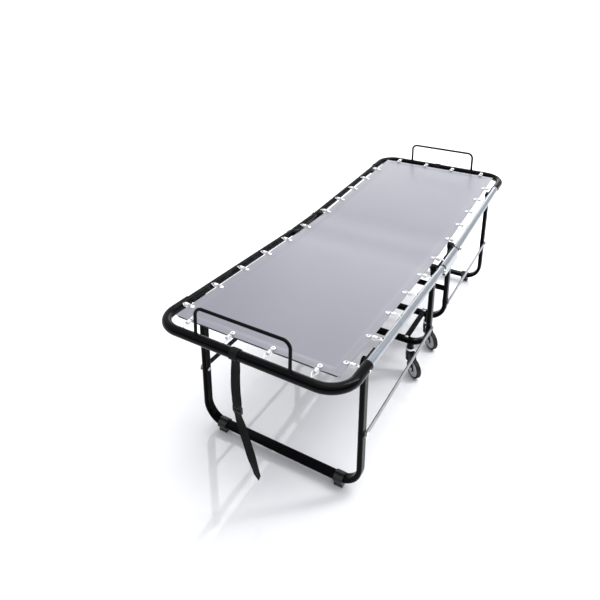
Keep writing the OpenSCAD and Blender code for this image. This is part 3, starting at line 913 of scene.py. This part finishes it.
rail_r = 0.0130
lean = math.radians(48)
for body, places in spring_sets.items():
    shape = bmesh.new()
    eyes = bmesh.new()
    holes = bmesh.new()
    for hem, far_end in places:
        out = far_end - hem
        side_spring = abs(hem.x) > fabric_w - 0.01
        if side_spring:
            out.y = out.z = 0
        else:
            out.x = 0
        reach = out.length
        out.normalize()
        over = Vector((0, 0, 1)) - out * out.z
        over.normalize()
        aside = out.cross(over)
        coil_from, coil_to, coil_r, wire_r = 0.0030, 0.0165, 0.0062, 0.00125
        # Ring at the hem: up through the eyelet and back to the coil.
        loop = []
        for k in range(17):
            a = math.pi * (0.5 + k / 16)
            back = -0.0062 + 0.0062 * math.cos(a)
            loop.append(hem + out * back + over * (0.0048 * math.sin(a) + 0.0012))
        loop = [hem + out * coil_from + over * 0.0058] + loop + [hem + out * coil_from - over * 0.0038]
        wire(shape, loop, wire_r)
        coil = []
        turns = 5
        for k in range(turns * 12 + 1):
            a = 2 * math.pi * k / 12
            swell = coil_r * (0.86 + 0.14 * math.sin(math.pi * k / (turns * 12)))
            coil.append(hem + out * (coil_from + (coil_to - coil_from) * k / (turns * 12))
                        + (over * math.cos(a) + aside * math.sin(a)) * swell)
        wire(shape, coil, wire_r * 1.05)
        # Forked hook: two legs that close on the punched hole.
        tip = hem + out * (reach + 0.0004)
        for sign in (-1, 1):
            leg = []
            for k in range(9):
                t = k / 8
                spread = 0.0066 * (1 - t) ** 0.8 + 0.0012
                leg.append(hem + out * (coil_to + (reach - coil_to) * t) + aside * sign * spread
                           + over * (0.0026 * math.sin(math.pi * t)))
            wire(shape, leg, wire_r)
        wire(shape, [tip + aside * 0.0012, tip + over * 0.0006, tip - aside * 0.0012], wire_r)
        bridge = [hem + out * coil_to + (aside * math.cos(a) + over * math.sin(a)) * 0.0066
                  for a in [math.pi * k / 8 for k in range(9)]]
        wire(shape, bridge, wire_r)
        # Pressed eyelet in the hem and, on the rails, the punched hole beside the hook: a black disc of
        # painted shade.
        eyelet = [(0.0032, -0.0016), (0.0032, 0.0004), (0.0043, 0.0013)]
        eyelet += [(0.0060, 0.0010), (0.0070, -0.0001), (0.0068, -0.0016)]
        turn(eyes, eyelet, hem - out * 0.0105 + over * 0.0012, over, 20)
        if side_spring:
            rim = [(0.0, 0.0002), (0.0026, 0.0002), (0.0030, 0.0005), (0.0035, 0.0003), (0.0036, -0.0006)]
            rail_x = math.copysign(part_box("side_rail_near_right")[0].x + rail_r, hem.x)
            rail_mid = Vector((rail_x, hem.y + 0.011, hem.z - 0.012))
            face_way = Vector((-math.copysign(math.cos(lean), hem.x), 0, math.sin(lean)))
            turn(holes, rim, rail_mid + face_way * rail_r, face_way, 16)
    name = "spring_coils_" + body
    add_piece(name, finish_mesh(shape, name), spring_wire, body)
    name = "hem_eyelets_" + body
    add_piece(name, finish_mesh(eyes, name), spring_wire, body)
    name = "spring_holes_" + body
    add_piece(name, finish_mesh(holes, name), painted_hole_shade, body)
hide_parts("springs_near")
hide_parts("springs_far")
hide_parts("springs_centre")


# ---- Mattress retainers ----
# Bright-drawn wire bent to a hoop and welded on top of each end tube, then enamelled black with
# the rest. A ring of weld stands round each foot.
retainer_enamel = painted(
    "black wire enamel", (0.004, 0.004, 0.005), (0.24, 0.24, 0.25), 0.10, 0.16, 0.0, 0.05, 0.006, 0.0001
)
wear_it(retainer_enamel, "retainer_bar_near", "retainer_bar_far")
weld_r = 0.0058
for half, (root, end, run, up) in deck_line.items():
    lo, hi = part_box("retainer_bar_" + half)
    shape = bmesh.new()
    for side in (-1, 1):
        foot = Vector((side * (hi.x - 0.005), end.y, end.z))
        ring = []
        for k in range(25):
            a = 2 * math.pi * k / 24
            across = weld_r * math.sin(a)
            height = math.sqrt(max(tube_r ** 2 - across ** 2, 0)) + 0.0004
            ring.append(foot + Vector((weld_r * math.cos(a), 0, 0)) + run * across + up * height)
        wire(shape, ring, 0.0014, 8)
    name = "retainer_welds_" + half
    add_piece(name, finish_mesh(shape, name), retainer_enamel, half + "_deck")


# ---- Storage strap, buckle and keeper ----
# Black nylon webbing looped round the near tube, through a ladder buckle, with a loose pointed
# tail that hangs in a slow twist. The keeper at the far end is the same webbing.
webbing = woven("black webbing", (0.004, 0.004, 0.005), (0.010, 0.010, 0.011), 900, 0.7, 0.02, 0.1, 0.0006)


def ribbon(name, points, normals, widths, thick, material, body):
    shape = bmesh.new()
    uv = shape.loops.layers.uv.new("cloth")
    cells = 8
    rows = []
    gone = 0.0
    for k, p in enumerate(points):
        if k:
            gone += (p - points[k - 1]).length
        ahead = (points[min(k + 1, len(points) - 1)] - points[max(k - 1, 0)]).normalized()
        face = (normals[k] - ahead * normals[k].dot(ahead)).normalized()
        aside = ahead.cross(face).normalized()
        row = []
        for m in range(cells + 1):
            t = m / cells * 2 - 1
            crown = 0.00025 * (1 - t * t)
            over, out = aside * widths[k] / 2 * t, face * (thick / 2 + crown)
            row.append((shape.verts.new(p + over + out), shape.verts.new(p + over - out), t, gone))
        rows.append(row)
    for a, b in zip(rows, rows[1:]):
        for m in range(cells):
            for layer in (0, 1):
                f = shape.faces.new((a[m][layer], a[m + 1][layer], b[m + 1][layer], b[m][layer]))
                for loop, spot in zip(f.loops, (a[m], a[m + 1], b[m + 1], b[m])):
                    loop[uv].uv = (spot[2] * 0.013, spot[3])
        for m in (0, cells):
            f = shape.faces.new((a[m][0], b[m][0], b[m][1], a[m][1]))
            for loop, spot in zip(f.loops, (a[m], b[m], b[m], a[m])):
                loop[uv].uv = (spot[2] * 0.013, spot[3])
    for row in (rows[0], rows[-1]):
        for m in range(cells):
            shape.faces.new((row[m][0], row[m + 1][0], row[m + 1][1], row[m][1]))
    mesh = finish_mesh(shape, name, angle=1.2)
    return add_piece(name, mesh, material, body)


strap_lo, strap_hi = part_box("strap")
buckle_lo, buckle_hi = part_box("strap_buckle")
strap_x = (buckle_lo.x + buckle_hi.x) / 2
buckle_z = (buckle_lo.z + buckle_hi.z) / 2
near_end = deck_line["near"][1]
strap_wide = 0.026
wrap_r = tube_r + 0.0003 + 0.0010
points, normals = [], []
drop_top, drop_foot = near_end.z - 0.0125, buckle_z - 0.016


# Between the tube and the buckle both layers turn together, and part a little half way.
def ply(share, front):
    twist = math.radians(52) * math.sin(math.pi * share) ** 2
    out = Vector((math.sin(twist), -math.cos(twist), 0)) * (1 if front else -1)
    stray = -0.004 * math.sin(math.pi * share) ** 2
    off = 0.00125 + 0.0012 * math.sin(math.pi * share)
    z = drop_foot + (drop_top - drop_foot) * share
    return Vector((strap_x + stray, near_end.y, z)) + out * off, out


for k in range(29):
    spot, out = ply(k / 28, True)
    points.append(spot)
    normals.append(out)
for k in range(33):
    a = math.radians(-128 - 284 * k / 32)
    points.append(Vector((strap_x, near_end.y + wrap_r * math.cos(a), near_end.z + wrap_r * math.sin(a))))
    normals.append(Vector((0, math.cos(a), math.sin(a))))
for k in range(29):
    spot, out = ply(1 - k / 28, False)
    points.append(spot)
    normals.append(out)
# The wrap is 33 places long, and a layer of 29 hangs from each of its ends.
for name, first, last in (("strap_front", 0, 30), ("strap_wrap", 29, 62), ("strap_back", 61, 91)):
    widths = [strap_wide] * (last - first)
    part = ribbon(name, points[first:last], normals[first:last], widths, 0.0016, webbing, "near_deck")
    if name == "strap_wrap":
        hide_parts("strap")

# The tail leaves the buckle, turns on itself and ends in a cut point.
points, normals, widths = [], [], []
tail_top = Vector((strap_x, near_end.y - 0.0012, buckle_z - 0.010))
tail_tip = Vector((strap_hi.x - 0.005, near_end.y - 0.001, strap_lo.z + 0.001))
steps = 44
for k in range(steps + 1):
    t = k / steps
    ease = t * t * (3 - 2 * t)
    at = tail_top.lerp(tail_tip, t)
    at.x = tail_top.x + (tail_tip.x - tail_top.x) * (0.35 * t + 0.65 * ease)
    at.y += 0.0030 * math.sin(math.pi * 2 * t)
    twist = math.radians(68) * math.sin(math.pi * min(1.0, t * 1.15)) ** 2
    points.append(at)
    normals.append(Vector((math.sin(twist), -math.cos(twist), 0)))
    widths.append(0.024 if t < 0.9 else 0.024 * (1 - (t - 0.9) / 0.1) + 0.0015)
ribbon("strap_tail", points, normals, widths, 0.0015, webbing, "near_deck")

# The hanging part is limp; each hanging piece gets a mesh of its own.
for name in ("strap_front", "strap_back", "strap_tail"):
    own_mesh(bpy.data.objects[name])

far_end = deck_line["far"][1]
points, normals = [], []
for k in range(49):
    a = 2 * math.pi * k / 48 - math.pi / 2
    points.append(Vector((strap_x, far_end.y + wrap_r * math.cos(a), far_end.z + wrap_r * math.sin(a))))
    normals.append(Vector((0, math.cos(a), math.sin(a))))
widths = [strap_wide] * len(points)
keeper = ribbon("strap_keeper_loop", points, normals, widths, 0.0016, webbing, "far_deck")
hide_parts("strap_keeper")

# Ladder buckle: a rounded frame with three bars, moulded in black acetal.
buckle_plastic = painted(
    "black acetal buckle", (0.010, 0.010, 0.011), (0.06, 0.06, 0.06), 0.5, 0.32, 0.0, 0.45, 0.05, 0.0003
)
shape = bmesh.new()
half_w = (buckle_hi.x - buckle_lo.x) / 2 - 0.0022
half_h = (buckle_hi.z - buckle_lo.z) / 2 - 0.0024
middle = Vector((strap_x, near_end.y - 0.0002, buckle_z))
frame_path = []
for k in range(49):
    a = 2 * math.pi * k / 48
    c, s = math.cos(a), math.sin(a)
    frame_path.append(middle + Vector((
        math.copysign(abs(c) ** 0.35, c) * half_w, 0, math.copysign(abs(s) ** 0.35, s) * half_h)))
wire(shape, frame_path, 0.0022, 10)
for level, forward in ((0.55, -0.0034), (0.0, 0.0), (-0.55, -0.0034)):
    bar = []
    for t in range(17):
        bow = forward * math.sin(math.pi * t / 16)
        bar.append(middle + Vector((half_w * (t / 8 - 1), bow, half_h * level)))
    wire(shape, bar, 0.0016, 8)
mesh = finish_mesh(shape, "ladder_buckle")
buckle = add_piece("ladder_buckle", mesh, buckle_plastic, "near_deck")
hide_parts("strap_buckle")
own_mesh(buckle)
